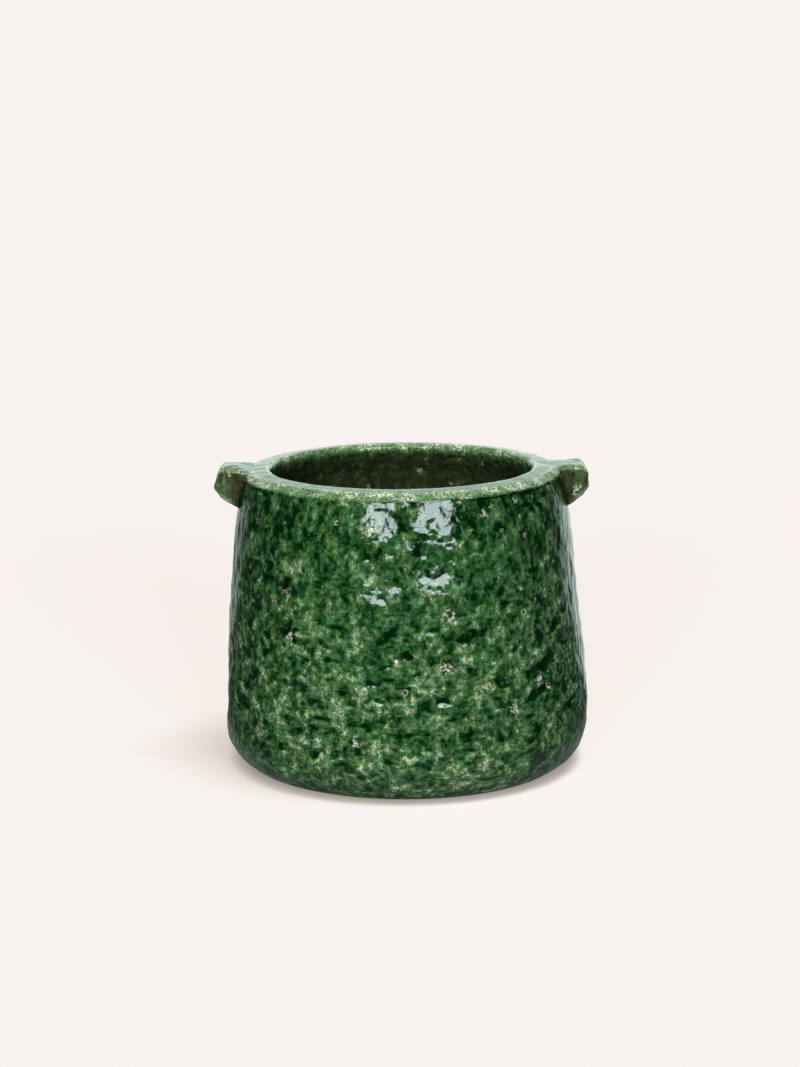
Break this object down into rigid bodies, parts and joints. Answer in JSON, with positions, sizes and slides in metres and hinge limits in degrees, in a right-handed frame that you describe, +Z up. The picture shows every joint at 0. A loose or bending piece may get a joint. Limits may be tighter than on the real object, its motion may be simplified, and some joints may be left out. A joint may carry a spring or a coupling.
{
  "type": "flower pot",
  "caption": "Squat round flower pot in mottled green glazed stoneware, slightly tapered, with a thick rim and a small pinched lug on each side of the mouth.",
  "frame": {"origin": "centre of the foot ring, on the surface that the pot stands on", "axes": "+Z up along the pot's axis, +X through the right lug, +Y away from the picture's camera"},
  "size_m": [0.1868, 0.1836, 0.15],
  "materials": {
    "green_glaze": "gloss"
  },
  "bodies": {
    "root": {"base_slab": "green_glaze", "wall": "green_glaze", "rim_coil": "green_glaze", "seam_coil": "green_glaze", "right_lug": "green_glaze", "left_lug": "green_glaze"}
  },
  "joints": []
}
